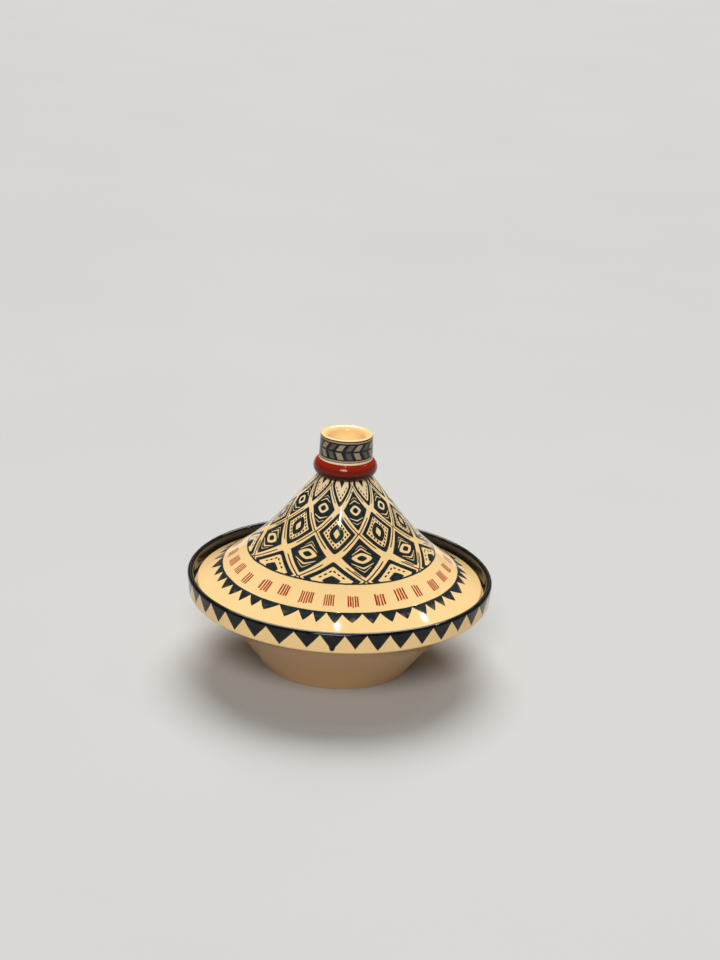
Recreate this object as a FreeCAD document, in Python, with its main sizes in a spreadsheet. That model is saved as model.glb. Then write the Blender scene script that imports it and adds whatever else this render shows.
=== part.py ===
"""A two-piece clay tagine: a footed dish with a lid gallery, and a flared conical lid with a knob."""
import FreeCAD, Part
import Sketcher
import math
import os

# Driving dimensions, in millimetres: name, size and what it measures
SIZES = (
    ("rim_radius", 150, "outside of the dish's upright rim"),
    ("rim_height", 91.5, "lip of the dish above the table"),
    ("rim_thickness", 6, "upright rim, outside to inside"),
    ("lip_round", 2.8, "rounding of the dish's lip"),
    ("band_height", 20, "upright outside band, lip to lower edge"),
    ("band_taper", 1.5, "how far the band's lower edge draws in"),
    ("band_round", 3, "rounding of the band's lower edge"),
    ("gallery_depth", 16, "lip down to the ledge that carries the lid"),
    ("gallery_width", 10, "ledge that carries the lid"),
    ("gallery_round", 2, "rounding of the ledge's inner edge"),
    ("foot_radius", 76, "outside of the foot at the table"),
    ("foot_round", 1.5, "rounding of the foot's outer edge"),
    ("foot_ring_width", 9, "ring that the dish stands on"),
    ("foot_recess", 4.5, "hollow turned inside the foot ring"),
    ("underside_curve", 196, "radius of the flare from the foot to the band"),
    ("floor_thickness", 7.5, "clay between the foot's hollow and the floor of the bowl"),
    ("heel_inset", 10, "corner of the bowl's floor in from the outside of the foot"),
    ("bowl_curve", 30, "rounding between the bowl's floor and wall"),
    ("lid_clearance", 3.6, "gap all round between the lid's edge and the rim"),
    ("lid_wall", 6.5, "wall of the lid"),
    ("brim_edge", 7, "upright edge of the lid's brim"),
    ("brim_round", 2.5, "rounding of the brim's upper edge"),
    ("seat_round", 1, "rounding of the brim's lower edge"),
    ("flare_radius", 59, "where the straight cone starts to flare"),
    ("flare_height", 76.1, "the same place, above the lid's seat"),
    ("neck_radius", 24.2, "flat top of the cone"),
    ("neck_height", 120.5, "flat top of the cone above the lid's seat"),
    ("crown_round", 10, "rounding inside the top of the lid"),
    ("collar_bulge", 6.8, "how far the collar bead stands out from the neck"),
    ("collar_height", 15, "collar bead, bottom to top"),
    ("knob_radius", 26, "outside of the knob above the collar"),
    ("knob_taper", 0.7, "how far the knob draws in to its lip"),
    ("knob_height", 24.5, "knob above the collar"),
    ("knob_wall", 6, "wall of the knob"),
    ("knob_lip_round", 1.5, "rounding of the knob's lip outside"),
    ("knob_mouth_round", 3.5, "rounding of the knob's lip inside"),
    ("knob_floor", 5, "floor of the knob's cup"),
    ("knob_floor_round", 4, "rounding between the cup's floor and wall"),
    ("spigot_inset", 2.2, "knob's foot inside the collar, in from the neck or knob, whichever is slimmer"),
    ("luting_gap", 0.3, "slip joint between the collar and the knob's foot"),
)

# Sizes of the lid that follow from those above: name, formula and what it measures
FOLLOWING = (
    ("lid_radius", "=rim_radius - rim_thickness - lid_clearance", "outside of the brim"),
    ("cone_run", "=flare_radius - neck_radius", "straight side of the cone, across"),
    ("cone_drop", "=neck_height - flare_height", "straight side of the cone, downwards"),
    ("cone_side", "=sqrt(cone_run ^ 2 + cone_drop ^ 2)", "straight side of the cone"),
    ("skirt_run", "=lid_radius - flare_radius", "flared side, across"),
    ("skirt_drop", "=flare_height - brim_edge", "flared side, downwards"),
    ("turn_share", "=(skirt_run ^ 2 + skirt_drop ^ 2) / (skirt_run * cone_run + skirt_drop * cone_drop) / 2",
     "flare to turn, where the lines of cone and brim cross, in lengths of the straight side"),
    ("turn_radius", "=flare_radius + turn_share * cone_run", "the turn"),
    ("turn_height", "=flare_height - turn_share * cone_drop", "the turn"),
    ("brim_run", "=lid_radius - turn_radius", "line of the brim, across"),
    ("brim_drop", "=turn_height - brim_edge", "line of the brim, downwards"),
    ("brim_side", "=sqrt(brim_run ^ 2 + brim_drop ^ 2)", "line of the brim"),
    ("turn_cosine", "=(cone_run * brim_run + cone_drop * brim_drop) / (cone_side * brim_side)",
     "how nearly the two lines run the same way"),
    ("turn_inset", "=lid_wall / (1 + turn_cosine)", "wall at the turn, for each of the two lines"),
    ("turn_inside_radius", "=turn_radius - turn_inset * (cone_drop / cone_side + brim_drop / brim_side)",
     "the turn inside the wall"),
    ("turn_inside_height", "=turn_height - turn_inset * (cone_run / cone_side + brim_run / brim_side)",
     "the turn inside the wall"),
    ("flare_inside_radius", "=flare_radius - lid_wall * cone_drop / cone_side", "the flare inside the wall"),
    ("flare_inside_height", "=flare_height - lid_wall * cone_run / cone_side", "the flare inside the wall"),
    ("brim_inside_radius", "=lid_radius - lid_wall", "inside of the brim"),
    ("brim_inside_height", "=brim_edge - lid_wall * (brim_side - brim_drop) / brim_run",
     "inside of the brim"),
    ("crown_height", "=neck_height - lid_wall", "ceiling of the lid"),
    ("crown_radius", "=flare_inside_radius - (crown_height - flare_inside_height) * cone_run / cone_drop",
     "ceiling of the lid"),
)

document = FreeCAD.newDocument("tagine")
sizes = document.addObject("Spreadsheet::Sheet", "sizes")
for row, (size_name, size, meaning) in enumerate(SIZES + FOLLOWING, 1):
    sizes.set(f"A{row}", size_name)
    sizes.set(f"B{row}", str(size))
    sizes.set(f"C{row}", meaning)
    sizes.setAlias(f"B{row}", size_name)
document.recompute()

# Places that more than one piece takes from the sheet
SEAT_HEIGHT = "sizes.rim_height - sizes.gallery_depth"
NECK_HEIGHT = f"{SEAT_HEIGHT} + sizes.neck_height"
SPIGOT_RADIUS = "min(sizes.neck_radius; sizes.knob_radius) - sizes.spigot_inset"


def value_of(expression):
    """Work out an expression on the sheet as it stands now."""
    return float(sizes.evalExpression(expression))


def place_of(corner):
    """Work out a corner's radius and height as they stand now."""
    radius, height = corner
    return FreeCAD.Vector(value_of(radius), value_of(height), 0)


def new_body(label, height):
    """Make an empty piece whose own origin stands on the axis at a height above the table."""
    body = document.addObject("PartDesign::Body", label)
    body.Label = label
    body.setExpression("Placement.Base.z", height)
    return body


class RoundSide:
    """A side drawn as an arc; each kind says where its centre lies and what holds it there."""

    def draw(self, start, end):
        """Draw the arc from one corner to the next.

        Returns it and which of its points come first and last: an arc is drawn the left-hand way
        round, so one that runs clockwise starts from its far end.
        """
        centre = self.centre(start, end)
        outward = ((start + end) * 0.5 - centre).normalize()
        middle = centre + outward * (start - centre).Length
        if (start - centre).cross(end - centre).z < 0:
            return Part.Arc(end, middle, start), Section.END, Section.START
        return Part.Arc(start, middle, end), Section.START, Section.END


class RadiusArc(RoundSide):
    """An arc of a set radius, with its centre to the right of the way the section runs."""

    def __init__(self, radius):
        self.radius = radius

    def centre(self, start, end):
        """Find the first place of the centre."""
        chord = end - start
        right = FreeCAD.Vector(chord.y, -chord.x, 0).normalize()
        return (start + end) * 0.5 + right * math.sqrt(value_of(self.radius) ** 2 - chord.Length ** 2 / 4)

    def tie(self, section, name, index):
        """Hold the arc by its radius."""
        section.tie("Radius", f"{name}_radius", self.radius, index)


class LevelArc(RoundSide):
    """An arc whose centre lies at a set height."""

    def __init__(self, height):
        self.height = height

    def centre(self, start, end):
        """Find the first place of the centre."""
        level = value_of(self.height)
        rise = (start.y - level) ** 2 - (end.y - level) ** 2
        return FreeCAD.Vector((start.x + end.x + rise / (start.x - end.x)) / 2, level, 0)

    def tie(self, section, name, index):
        """Hold the arc by the height of its centre."""
        section.tie("DistanceY", f"{name}_centre", self.height, *Section.ORIGIN, index, Section.CENTRE)


class FlaredSide:
    """A side drawn as a parabola, which leaves and arrives along lines that cross at its handle."""

    DEGREE = 2

    def __init__(self, handle):
        self.handle = handle

    def draw(self, start, end):
        """Draw the curve; returns it and which of its points come first and last."""
        controls = [start, place_of(self.handle), end]
        ends = self.DEGREE + 1
        curve = Part.BSplineCurve()
        curve.buildFromPolesMultsKnots(controls, [ends, ends], [0, 1], False, self.DEGREE)
        return curve, Section.START, Section.END

    def tie(self, section, name, index):
        """Hold the curve by its handle, the second of its control points."""
        first_control = section.sketch.GeometryCount
        section.sketch.exposeInternalGeometry(index)
        section.tie_place(f"{name}_handle", self.handle, first_control + 1, Section.CENTRE)


class Section:
    """A closed half section through the axis, in the XZ plane, whose corners follow the sheet.

    Each named corner is a pair of expressions, radius and height. The side that leaves a corner is
    straight, unless curves gives the corner another.
    """

    START, END, CENTRE = 1, 2, 3
    ORIGIN = (-1, 1)
    ACROSS, UP = -1, -2

    def __init__(self, body, corners, curves=None):
        self.body = body
        self.corners = corners
        self.curves = curves or {}
        plane = next(each for each in body.Origin.OriginFeatures if each.Role == "XZ_Plane")
        self.sketch = body.newObject("Sketcher::SketchObject", f"{body.Name}_section")
        self.sketch.AttachmentSupport = [(plane, "")]
        self.sketch.MapMode = "FlatFace"
        self.draw()
        document.recompute()

    def draw(self):
        """Draw the sides round the section, join them and tie them to the sheet."""
        names = list(self.corners)
        befores = names[-1:] + names[:-1]
        afters = names[1:] + names[:1]
        sides = {name: self.add_side(name, after) for name, after in zip(names, afters)}
        for before, name in zip(befores, names):
            index, first, _ = sides[name]
            index_before, _, last_before = sides[before]
            joint = Sketcher.Constraint("Coincident", index_before, last_before, index, first)
            self.sketch.addConstraint(joint)
            self.tie_place(name, self.corners[name], index, first)
        for name, curve in self.curves.items():
            curve.tie(self, name, sides[name][0])

    def add_side(self, name, after):
        """Draw one side; returns its index in the sketch and which of its points come first and last."""
        start = place_of(self.corners[name])
        end = place_of(self.corners[after])
        side, first, last = Part.LineSegment(start, end), self.START, self.END
        if name in self.curves:
            side, first, last = self.curves[name].draw(start, end)
        return self.sketch.addGeometry(side), first, last

    def tie_place(self, name, place, index, point):
        """Hold a point at its radius and height, or on the axis or the base line where one is nothing."""
        radius, height = place
        for rule, line, expression in (("DistanceX", self.UP, radius), ("DistanceY", self.ACROSS, height)):
            if expression == "0":
                self.sketch.addConstraint(Sketcher.Constraint("PointOnObject", index, point, line))
            else:
                self.tie(rule, f"{name}_{rule}", expression, *self.ORIGIN, index, point)

    def tie(self, rule, name, expression, *where):
        """Add one sized constraint and bind it to its expression."""
        number = self.sketch.addConstraint(Sketcher.Constraint(rule, *where, value_of(expression)))
        self.sketch.renameConstraint(number, name)
        self.sketch.setExpression(f"Constraints.{name}", expression)

    def revolve(self):
        """Turn the section once round the axis."""
        turned = self.body.newObject("PartDesign::Revolution", f"{self.body.Name}_turned")
        turned.Profile = self.sketch
        turned.ReferenceAxis = (self.sketch, ["V_Axis"])
        turned.Angle = 360
        document.recompute()
        return turned

    def round(self, radius, *names):
        """Round the edges that the named corners have drawn."""
        places = [place_of(self.corners[name]) for name in names]
        round_rings(self.body, radius, [(place.x, place.y) for place in places])


def round_rings(body, radius, places):
    """Round the circular edges of a body's last feature at each radius and height."""
    near = 0.001
    tip = body.Tip
    chosen = []
    for number, edge in enumerate(tip.Shape.Edges, 1):
        if not isinstance(edge.Curve, Part.Circle):
            continue
        for ring_radius, ring_height in places:
            same_height = abs(edge.Curve.Center.z - ring_height) < near
            if same_height and abs(edge.Curve.Radius - ring_radius) < near:
                chosen.append(f"Edge{number}")
    rounding = body.newObject("PartDesign::Fillet", f"{body.Name}_round")
    rounding.Base = (tip, chosen)
    rounding.setExpression("Radius", radius)
    document.recompute()


def make_dish():
    """Turn the bowl with its foot ring, flared underside, upright rim and lid gallery."""
    body = new_body("dish", "0")
    rim_inside = "sizes.rim_radius - sizes.rim_thickness"
    floor_height = "sizes.foot_recess + sizes.floor_thickness"
    section = Section(body, {
        "recess_middle": ("0", "sizes.foot_recess"),
        "recess": ("sizes.foot_radius - sizes.foot_ring_width", "sizes.foot_recess"),
        "foot_inside": ("sizes.foot_radius - sizes.foot_ring_width", "0"),
        "foot": ("sizes.foot_radius", "0"),
        "band_foot": ("sizes.rim_radius - sizes.band_taper", "sizes.rim_height - sizes.band_height"),
        "lip_outside": ("sizes.rim_radius", "sizes.rim_height"),
        "lip_inside": (rim_inside, "sizes.rim_height"),
        "gallery": (rim_inside, SEAT_HEIGHT),
        "ledge": (f"{rim_inside} - sizes.gallery_width", SEAT_HEIGHT),
        "heel": ("sizes.foot_radius - sizes.heel_inset", floor_height),
        "floor_middle": ("0", floor_height),
    }, {"foot": RadiusArc("sizes.underside_curve")})
    section.revolve()
    section.round("min(sizes.lip_round; sizes.rim_thickness * 0.48)", "lip_outside", "lip_inside")
    section.round("sizes.band_round", "band_foot")
    section.round("sizes.bowl_curve", "heel")
    section.round("sizes.gallery_round", "ledge")
    section.round("sizes.foot_round", "foot")
    return body


def make_lid_cone():
    """Turn the flared cone with its even wall, flat brim and rounded crown."""
    body = new_body("lid_cone", SEAT_HEIGHT)
    section = Section(body, {
        "neck_middle": ("0", "sizes.neck_height"),
        "neck": ("sizes.neck_radius", "sizes.neck_height"),
        "flare": ("sizes.flare_radius", "sizes.flare_height"),
        "brim": ("sizes.lid_radius", "sizes.brim_edge"),
        "seat": ("sizes.lid_radius", "0"),
        "seat_inside": ("sizes.brim_inside_radius", "0"),
        "brim_inside": ("sizes.brim_inside_radius", "sizes.brim_inside_height"),
        "flare_inside": ("sizes.flare_inside_radius", "sizes.flare_inside_height"),
        "crown": ("sizes.crown_radius", "sizes.crown_height"),
        "crown_middle": ("0", "sizes.crown_height"),
    }, {
        "flare": FlaredSide(("sizes.turn_radius", "sizes.turn_height")),
        "brim_inside": FlaredSide(("sizes.turn_inside_radius", "sizes.turn_inside_height")),
    })
    section.revolve()
    section.round("sizes.brim_round", "brim")
    section.round("sizes.seat_round", "seat")
    section.round("sizes.crown_round", "crown")
    return body


def make_collar_bead():
    """Turn the rolled ring that covers the joint of cone and knob."""
    body = new_body("collar_bead", NECK_HEIGHT)
    bore = f"{SPIGOT_RADIUS} + sizes.luting_gap"
    middle = "sizes.collar_height / 2"
    section = Section(body, {
        "bore_foot": (bore, "0"),
        "bead_foot": ("sizes.neck_radius", "0"),
        "bead_middle": ("sizes.neck_radius + sizes.collar_bulge", middle),
        "bead_top": ("sizes.knob_radius", "sizes.collar_height"),
        "bore_top": (bore, "sizes.collar_height"),
    }, {"bead_foot": LevelArc(middle), "bead_middle": LevelArc(middle)})
    section.revolve()
    return body


def make_knob_cup():
    """Turn the hollow cup and the foot by which it stands in the collar."""
    body = new_body("knob_cup", NECK_HEIGHT)
    top = "sizes.collar_height + sizes.knob_height"
    lip_radius = "sizes.knob_radius - sizes.knob_taper"
    cup_radius = f"{SPIGOT_RADIUS} - sizes.knob_wall"
    section = Section(body, {
        "foot_middle": ("0", "0"),
        "spigot": (SPIGOT_RADIUS, "0"),
        "under_shoulder": (SPIGOT_RADIUS, "sizes.collar_height"),
        "shoulder": ("sizes.knob_radius", "sizes.collar_height"),
        "lip_outside": (lip_radius, top),
        "lip_inside": (f"{lip_radius} - sizes.knob_wall", top),
        "cup_corner": (cup_radius, "sizes.knob_floor"),
        "cup_middle": ("0", "sizes.knob_floor"),
    })
    section.revolve()
    section.round("min(sizes.knob_lip_round; sizes.knob_wall * 0.3)", "lip_outside")
    section.round("min(sizes.knob_mouth_round; sizes.knob_wall * 0.6)", "lip_inside")
    section.round("sizes.knob_floor_round", "cup_corner")
    return body


def check_all():
    """Stop before anything is written if the document holds a failed object or a bad solid."""
    failed = [each.Name for each in document.Objects if {"Invalid", "Error"} & set(each.State)]
    if failed:
        raise RuntimeError(f"these objects failed: {failed}")
    for body in pieces:
        if body.Shape.isNull() or not body.Shape.isValid() or len(body.Shape.Solids) != 1:
            raise RuntimeError(f"{body.Label} isn't one sound solid")


pieces = [make_dish(), make_lid_cone(), make_collar_bead(), make_knob_cup()]
document.recompute()
check_all()
os.makedirs("parts", exist_ok=True)
for piece in pieces:
    piece.Shape.exportStep(os.path.join("parts", f"{piece.Label}.step"))
    box = piece.Shape.optimalBoundingBox()
    print(f"{piece.Label}: {box.XLength:.1f} x {box.YLength:.1f} x {box.ZLength:.1f} mm from {box.ZMin:.1f},"
          f" {piece.Shape.Volume / 1000:.1f} ml of clay")
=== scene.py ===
"""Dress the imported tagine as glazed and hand-painted clay, on a pale studio floor."""
from __future__ import annotations

import logging
import math
from dataclasses import dataclass
from enum import Enum
from functools import reduce
from typing import Callable, ClassVar, Sequence, Union

import bpy
from mathutils import Color, Matrix, Vector


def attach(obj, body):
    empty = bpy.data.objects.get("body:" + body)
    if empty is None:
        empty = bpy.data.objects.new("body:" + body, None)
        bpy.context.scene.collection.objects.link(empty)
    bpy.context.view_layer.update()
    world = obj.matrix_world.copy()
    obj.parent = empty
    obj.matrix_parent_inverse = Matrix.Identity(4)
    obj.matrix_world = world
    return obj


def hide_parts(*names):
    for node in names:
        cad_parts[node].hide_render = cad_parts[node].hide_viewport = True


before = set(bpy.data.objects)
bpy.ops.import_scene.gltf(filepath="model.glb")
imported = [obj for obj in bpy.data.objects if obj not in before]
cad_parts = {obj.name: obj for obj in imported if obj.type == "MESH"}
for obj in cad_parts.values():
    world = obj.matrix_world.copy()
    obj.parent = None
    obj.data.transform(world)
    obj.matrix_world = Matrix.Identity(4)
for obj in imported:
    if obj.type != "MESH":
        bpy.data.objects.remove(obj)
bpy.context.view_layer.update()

MM = 0.001
FULL_TURN = 360
PAINT_MAP = "PaintMap"
BAKE_MAP = "OFBake"

log = logging.getLogger("tagine")

Place = tuple[float, float]
Point = tuple[float, float, float]
Colour = tuple[float, float, float, float]
Settings = dict[str, object]
Sockets = dict[Union[str, int], object]
Number = Union["Value", float]


class Body(str, Enum):
    """The two bodies that the pieces ride on."""

    DISH = "dish"
    LID = "lid"


class Slot(str, Enum):
    """The record's finishes."""

    PAINTED = "painted_glaze"
    RED = "red_glaze"


def shade(red: int, green: int, blue: int) -> Colour:
    """Turn a colour as it is seen on a screen, from 0 to 255, into a linear one with full cover."""
    return (*Color((red / 255, green / 255, blue / 255)).from_srgb_to_scene_linear(), 1.0)


def ramp(way: float, length: float) -> float:
    """Climb from 0 to 1 over a length."""
    return max(0.0, min(1.0, way / length))


def math_operator(operation: str, reflected: bool = False) -> Callable[[Value, Number], Value]:
    """Make an operator that adds one Math node.

    Args:
        operation: The node's operation.
        reflected: Whether the other term comes first.

    Returns:
        The operator, as a method of Value.
    """
    def combine(value: Value, other: Number) -> Value:
        """Add the node."""
        return value.sheet.math(operation, *((other, value) if reflected else (value, other)))
    return combine


class Value:
    """A node's output that adds Math nodes as it is used in expressions.

    Of two masks, | takes the larger, which joins them, and & the smaller, which keeps what they share.
    """

    def __init__(self, sheet: NodeSheet, socket: bpy.types.NodeSocket) -> None:
        """Wrap one output of a sheet's node."""
        self.sheet = sheet
        self.socket = socket

    __add__ = __radd__ = math_operator("ADD")
    __sub__ = math_operator("SUBTRACT")
    __rsub__ = math_operator("SUBTRACT", reflected=True)
    __mul__ = __rmul__ = math_operator("MULTIPLY")
    __truediv__ = math_operator("DIVIDE")
    __rtruediv__ = math_operator("DIVIDE", reflected=True)
    __pow__ = math_operator("POWER")
    __or__ = math_operator("MAXIMUM")
    __and__ = math_operator("MINIMUM")

    def math(self, operation: str, *others: Number) -> Value:
        """Add one Math node with this value first."""
        return self.sheet.math(operation, self, *others)

    def __abs__(self) -> Value:
        """Drop the sign."""
        return self.math("ABSOLUTE")

    def __neg__(self) -> Value:
        """Turn the sign."""
        return self * -1.0

    def sin(self) -> Value:
        """Take the sine."""
        return self.math("SINE")

    def cos(self) -> Value:
        """Take the cosine."""
        return self.math("COSINE")

    def radians(self) -> Value:
        """Turn degrees into radians."""
        return self * (math.pi / 180)

    def floor(self) -> Value:
        """Take the next lower whole number."""
        return self.math("FLOOR")

    def rounded(self) -> Value:
        """Take the nearest whole number."""
        return self.math("ROUND")

    def wrapped(self, half: float) -> Value:
        """Repeat between minus half and half."""
        return self.math("WRAP", half, -half)

    def repeats(self, count: int) -> tuple[Value, Value]:
        """Tell which of a ring of repeats a place lies in, and how far from its middle, up to a half."""
        return self.rounded().wrapped(count / 2), self.wrapped(0.5)

    def blunt(self, rounding: float) -> Value:
        """Drop the sign, with the crease at nothing rounded off."""
        return (self * self + rounding * rounding).math("SQRT")

    def parity(self) -> Value:
        """Tell odd whole numbers, as 1, from even ones, as 0."""
        return abs((self / 2).wrapped(0.5)) * 2

    def below(self, edge: Number, soft: float) -> Value:
        """Make a mask that is 1 below an edge, with a soft step."""
        return self.sheet.step(edge - self, soft)

    def above(self, edge: Number, soft: float) -> Value:
        """Make a mask that is 1 above an edge, with a soft step."""
        return self.sheet.step(self - edge, soft)

    def within(self, low: Number, high: Number, soft: float) -> Value:
        """Make a mask that is 1 between two edges."""
        return self.above(low, soft) & self.below(high, soft)

    def bands(self, edges: Sequence[Place], soft: float) -> Value:
        """Make a mask that is 1 between each pair of edges."""
        return reduce(Value.__or__, [self.within(low, high, soft) for low, high in edges])


class NodeSheet:
    """A node tree to which nodes are added with their settings and sockets."""

    def __init__(self, tree: bpy.types.NodeTree) -> None:
        """Work on one tree."""
        self.tree = tree

    def node(self, kind: str, settings: Settings | None = None,
             sockets: Sockets | None = None) -> bpy.types.Node:
        """Make one node.

        Args:
            kind: The node's type.
            settings: Its own settings, which are set first.
            sockets: Values or links for its inputs, by name or number.

        Returns:
            The node.
        """
        node = self.tree.nodes.new(kind)
        for name, setting in (settings or {}).items():
            setattr(node, name, setting)
        for name, given in (sockets or {}).items():
            if isinstance(given, Value):
                self.tree.links.new(given.socket, node.inputs[name])
            else:
                node.inputs[name].default_value = given
        return node

    def add(self, kind: str, settings: Settings | None = None, sockets: Sockets | None = None,
            out: str | int = 0) -> Value:
        """Make one node and take one of its outputs."""
        return Value(self, self.node(kind, settings, sockets).outputs[out])

    def other(self, value: Value, out: str | int) -> Value:
        """Take another output of a value's node."""
        return Value(self, value.socket.node.outputs[out])

    def math(self, operation: str, *terms: Number) -> Value:
        """Add one Math node."""
        return self.add("ShaderNodeMath", {"operation": operation}, dict(enumerate(terms)))

    def step(self, distance: Value, soft: float) -> Value:
        """Make a mask that climbs from 0 to 1 as a distance passes nothing."""
        return self.add("ShaderNodeMapRange", {"interpolation_type": "SMOOTHSTEP"},
                        {"Value": distance, "From Min": -soft, "From Max": soft})

    def split(self, vector: Value) -> tuple[Value, Value, Value]:
        """Take a vector's three parts."""
        first = self.add("ShaderNodeSeparateXYZ", sockets={0: vector})
        return first, self.other(first, 1), self.other(first, 2)

    def join(self, x: Number, y: Number, z: Number = 0.0) -> Value:
        """Make a vector of three parts."""
        return self.add("ShaderNodeCombineXYZ", sockets={0: x, 1: y, 2: z})

    def mix(self, share: Number, first: object, second: object) -> Value:
        """Mix two colours, from the first at 0 to the second at 1."""
        return self.add("ShaderNodeMix", {"data_type": "RGBA"}, {0: share, 6: first, 7: second}, 2)

    def noise(self, place: Value, size: Number, detail: float = 2.0, shift: Number = 0.0) -> Value:
        """Add a noise of a feature size in metres, from 0 to 1."""
        sockets = {"Vector": place, "W": shift, "Scale": 1 / size, "Detail": detail}
        return self.add("ShaderNodeTexNoise", {"noise_dimensions": "4D"}, sockets, "Fac")

    def chance(self, *keys: Value) -> Value:
        """Draw a fixed number from 0 to 1 for each set of two or three keys."""
        return self.add("ShaderNodeTexWhiteNoise", {"noise_dimensions": "3D"},
                        {"Vector": self.join(*keys)}, "Value")


@dataclass(frozen=True)
class Corner:
    """One corner of a half section, in millimetres, and how the side that leaves it runs.

    Attributes:
        radius: How far it stands from the axis.
        height: How high it stands.
        rounding: Radius that rounds the corner off.
        centre: Middle of an arc that leaves the corner.
        handle: Where the lines of a flared side that leaves the corner cross.
    """

    radius: float
    height: float
    rounding: float = 0.0
    centre: Place | None = None
    handle: Place | None = None

    @property
    def place(self) -> Vector:
        """Give the corner as a flat vector."""
        return Vector((self.radius, self.height))


@dataclass
class Outline:
    """A half section whose clay lies on the left of the way it runs; lengths in millimetres.

    Attributes:
        corners: Its corners in order.
        closed: Whether the last corner runs on to the first.
        pace: Longest step between two points of a side.
        FINE: Step in which a side is first drawn.
        LOOK: How many of those steps from a corner its angle is taken.
        TURN: Longest step round a rounded corner, as an angle.
        SAME: Points nearer to each other than this are one.
    """

    corners: Sequence[Corner]
    closed: bool = False
    pace: float = 2.0
    FINE: ClassVar[float] = 0.25
    LOOK: ClassVar[int] = 3
    TURN: ClassVar[float] = math.radians(9)
    SAME: ClassVar[float] = 0.01

    def side(self, start: Corner, end: Corner) -> list[Vector]:
        """Draw one side in fine steps.

        Args:
            start: Corner that it leaves.
            end: Corner that it reaches.

        Returns:
            Its points, both corners included.
        """
        first, last = start.place, end.place
        count = max(2, math.ceil((last - first).length / self.FINE))
        shares = [index / count for index in range(count + 1)]
        if start.centre:
            centre = Vector(start.centre)
            sweep = (first - centre).angle_signed(last - centre)
            return [centre + Matrix.Rotation(-sweep * share, 2) @ (first - centre) for share in shares]
        if start.handle:
            handle = Vector(start.handle)
            return [first * (1 - t) ** 2 + handle * (2 * t * (1 - t)) + last * t ** 2 for t in shares]
        return [first.lerp(last, share) for share in shares]

    def round_off(self, before: list[Vector], after: list[Vector], radius: float) -> list[Vector]:
        """Cut two sides back from their shared corner and draw the arc between them.

        Args:
            before: Side that reaches the corner, which is cut back.
            after: Side that leaves the corner, which is cut back.
            radius: Rounding.

        Returns:
            The points of the arc.
        """
        corner = after[0].copy()
        half_angle = (before[-1 - self.LOOK] - corner).angle(after[self.LOOK] - corner) / 2
        reach = radius / math.tan(half_angle)
        while len(before) > 1 and (before[-1] - corner).length < reach:
            before.pop()
        while len(after) > 1 and (after[0] - corner).length < reach:
            after.pop(0)
        first = corner + (before[-1] - corner).normalized() * reach
        last = corner + (after[0] - corner).normalized() * reach
        pull = math.sin(half_angle)
        count = max(4, math.ceil((math.pi - 2 * half_angle) / self.TURN))
        arc = []
        for index in range(count + 1):
            t = index / count
            parts = ((1 - t) ** 2, 2 * pull * t * (1 - t), t ** 2)
            arc.append((first * parts[0] + corner * parts[1] + last * parts[2]) / sum(parts))
        return arc

    def thin(self, side: list[Vector]) -> list[Vector]:
        """Keep evenly spaced points of a fine side.

        Args:
            side: Its points.

        Returns:
            Points that are no further apart than the pace.
        """
        length = sum((b - a).length for a, b in zip(side, side[1:]))
        count = max(1, math.ceil(length / self.pace))
        picks = sorted({round(index * (len(side) - 1) / count) for index in range(count + 1)})
        return [side[pick] for pick in picks]

    def points(self) -> list[Vector]:
        """Draw the whole outline with its corners rounded.

        Returns:
            Points in millimetres; a closed outline ends where it starts.
        """
        ends = [*self.corners[1:], self.corners[0]] if self.closed else self.corners[1:]
        sides = [self.side(start, end) for start, end in zip(self.corners, ends)]
        arcs = []
        for index, side in enumerate(sides):
            rounding = self.corners[index].rounding
            arcs.append(self.round_off(sides[index - 1], side, rounding) if rounding else [])
        path: list[Vector] = []
        for arc, side in zip(arcs, sides):
            for point in arc + self.thin(side):
                if not path or (point - path[-1]).length > self.SAME:
                    path.append(point)
        if self.closed:
            path.append(path[0].copy())
        return path


def centre_on_right(start: Place, end: Place, radius: float) -> Place:
    """Find the middle of an arc whose middle lies on the right of the way it runs.

    Args:
        start: First end of the arc.
        end: Last end of the arc.
        radius: Radius of the arc.

    Returns:
        The middle.
    """
    chord = Vector(end) - Vector(start)
    right = Vector((chord.y, -chord.x)).normalized()
    middle = (Vector(start) + Vector(end)) / 2 + right * math.sqrt(radius ** 2 - chord.length_squared / 4)
    return (middle.x, middle.y)


def centre_at_level(start: Place, end: Place, level: float) -> Place:
    """Find the middle, at a set height, of an arc between two ends."""
    rise = (start[1] - level) ** 2 - (end[1] - level) ** 2
    return ((start[0] + end[0] + rise / (start[0] - end[0])) / 2, level)


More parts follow.
